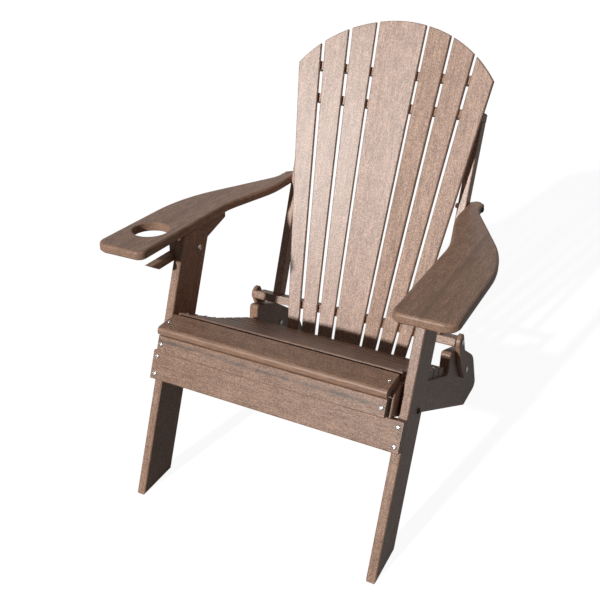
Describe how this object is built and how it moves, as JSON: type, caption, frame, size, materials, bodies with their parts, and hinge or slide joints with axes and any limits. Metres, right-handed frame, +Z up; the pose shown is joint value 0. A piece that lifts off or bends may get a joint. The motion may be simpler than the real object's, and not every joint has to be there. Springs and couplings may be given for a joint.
{
  "type": "folding adirondack chair",
  "caption": "Folding adirondack chair of brown plastic lumber: fan back with arched top, sloped slatted seat, broad curved arms with a cup hole, and front legs that swing under the seat.",
  "frame": {"origin": "centre of the chair's box at floor level", "axes": "+X to the chair's right arm as seen from the front, +Y to the rear, +Z up"},
  "size_m": [0.858, 0.8898, 1.0194],
  "materials": {
    "plastic_lumber": "fine mottled grain, routed edges",
    "stainless_steel": "plain stainless"
  },
  "bodies": {
    "seat": {"rail_left": "plastic_lumber", "rail_right": "plastic_lumber", "front_apron": "plastic_lumber", "apron_screws": "stainless_steel", "front_seat_slat": "plastic_lumber", "seat_slat_1": "plastic_lumber", "seat_slat_2": "plastic_lumber", "seat_slat_3": "plastic_lumber", "seat_slat_4": "plastic_lumber", "seat_slat_5": "plastic_lumber", "seat_slat_6": "plastic_lumber", "seat_slat_7": "plastic_lumber", "seat_slat_8": "plastic_lumber", "seat_screws": "stainless_steel", "link_pivot_bolts": "stainless_steel", "link_pivot_nuts": "stainless_steel"},
    "legs": {"leg_left": "plastic_lumber", "leg_right": "plastic_lumber", "front_stretcher": "plastic_lumber", "stretcher_screws": "stainless_steel", "seat_pivot_bolts": "stainless_steel", "seat_pivot_washers": "stainless_steel", "seat_pivot_nuts": "stainless_steel", "arm_pivot_bolts": "stainless_steel", "arm_pivot_nuts": "stainless_steel"},
    "left_arm": {"arm_left": "plastic_lumber", "arm_bracket_left": "plastic_lumber", "arm_screws_left": "stainless_steel", "back_pivot_bolt_left": "stainless_steel"},
    "right_arm": {"arm_right": "plastic_lumber", "arm_bracket_right": "plastic_lumber", "arm_screws_right": "stainless_steel", "back_pivot_bolt_right": "stainless_steel"},
    "left_link": {"link_left": "plastic_lumber"},
    "right_link": {"link_right": "plastic_lumber"},
    "back": {"back_slat_1": "plastic_lumber", "back_slat_2": "plastic_lumber", "back_slat_3": "plastic_lumber", "back_slat_4": "plastic_lumber", "back_slat_5": "plastic_lumber", "back_slat_6": "plastic_lumber", "back_slat_7": "plastic_lumber", "top_cleat": "plastic_lumber", "upper_cleat": "plastic_lumber", "lower_bar": "plastic_lumber", "upright_left": "plastic_lumber", "upright_right": "plastic_lumber", "slat_screws_long": "stainless_steel", "slat_screws_short": "stainless_steel", "frame_screws": "stainless_steel", "link_upper_bolts": "stainless_steel", "back_pivot_nuts": "stainless_steel"}
  },
  "joints": [
    {"name": "leg_fold", "type": "hinge", "parent": "seat", "child": "legs", "pos_m": [0, -0.2229, 0.32155], "axis": [1, 0, 0], "range_deg": [0, 90]},
    {"name": "left_arm_swing", "type": "hinge", "parent": "legs", "child": "left_arm", "pos_m": [0, -0.12254, 0.54943], "axis": [1, 0, 0], "range_deg": [-87.5, 0]},
    {"name": "right_arm_swing", "type": "hinge", "parent": "legs", "child": "right_arm", "pos_m": [0, -0.12254, 0.54943], "axis": [1, 0, 0], "range_deg": [-87.5, 0]},
    {"name": "left_link_swing", "type": "hinge", "parent": "seat", "child": "left_link", "pos_m": [0, 0.21415, 0.163], "axis": [1, 0, 0], "range_deg": [-40.5, 0]},
    {"name": "right_link_swing", "type": "hinge", "parent": "seat", "child": "right_link", "pos_m": [0, 0.21415, 0.163], "axis": [1, 0, 0], "range_deg": [-40.5, 0]},
    {"name": "back_fold", "type": "hinge", "parent": "left_link", "child": "back", "pos_m": [0, 0.14741, 0.28728], "axis": [1, 0, 0], "range_deg": [0, 121]}
  ],
  "couplings": [
    {"joint": "left_arm_swing", "follows": "leg_fold", "ratio": -0.96414},
    {"joint": "right_arm_swing", "follows": "leg_fold", "ratio": -0.96414},
    {"joint": "left_link_swing", "follows": "leg_fold", "ratio": -0.44444},
    {"joint": "right_link_swing", "follows": "leg_fold", "ratio": -0.44444},
    {"joint": "back_fold", "follows": "leg_fold", "ratio": 1.3353}
  ]
}
